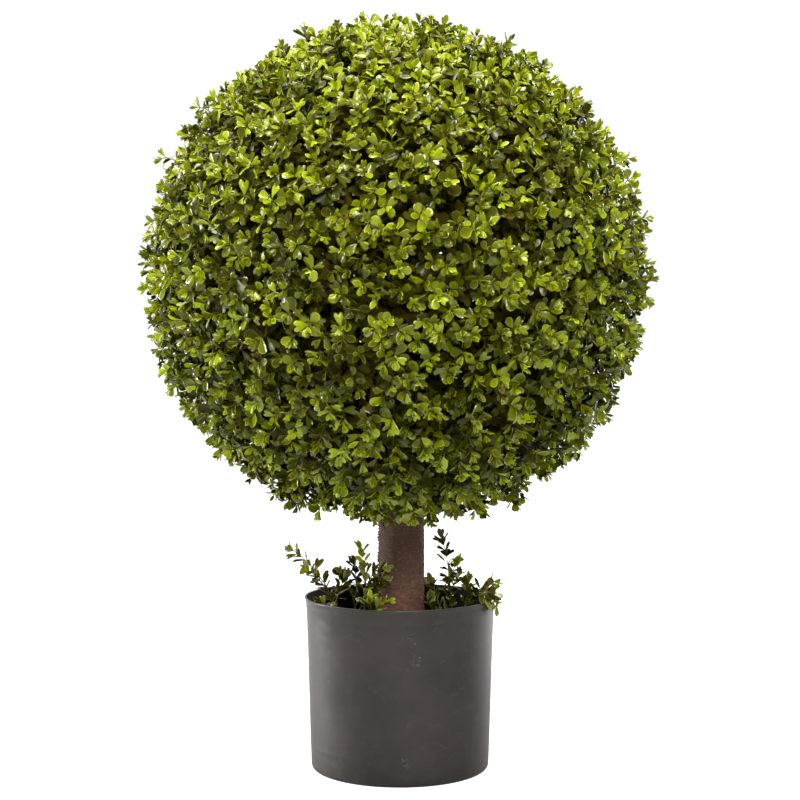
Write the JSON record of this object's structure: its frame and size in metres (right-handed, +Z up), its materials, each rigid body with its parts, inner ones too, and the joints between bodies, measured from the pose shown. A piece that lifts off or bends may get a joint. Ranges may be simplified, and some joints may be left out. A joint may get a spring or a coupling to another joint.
{
  "type": "artificial box topiary ball in a pot",
  "caption": "Clipped ball of small artificial box leaves on a straight wrapped pole, in a round tapered pot with sprigs of box growing round its foot.",
  "frame": {"origin": "centre of the flat underside of the pot", "axes": "+Z up along the trunk, -Y towards the front, +X to the right seen from the front"},
  "size_m": [0.4652, 0.4621, 0.6844],
  "materials": {
    "pot_plastic": "satin moulded plastic, almost black",
    "cast_fill": "rough cast weight, dark brown",
    "trunk_wrap": "matt reddish brown wrap with fine ripples across it",
    "foliage": "glossy moulded leaves, yellow green to dark green"
  },
  "bodies": {
    "root": {"pot": "pot_plastic", "pot_fill": "cast_fill", "trunk": "trunk_wrap", "foliage_ball": "foliage", "pot_sprig_left_leaning": "foliage", "pot_sprig_left_upright": "foliage", "pot_sprig_left_rear": "foliage", "pot_sprig_left_low": "foliage", "pot_sprig_right_upright": "foliage", "pot_sprig_right_leaning": "foliage"}
  },
  "joints": []
}
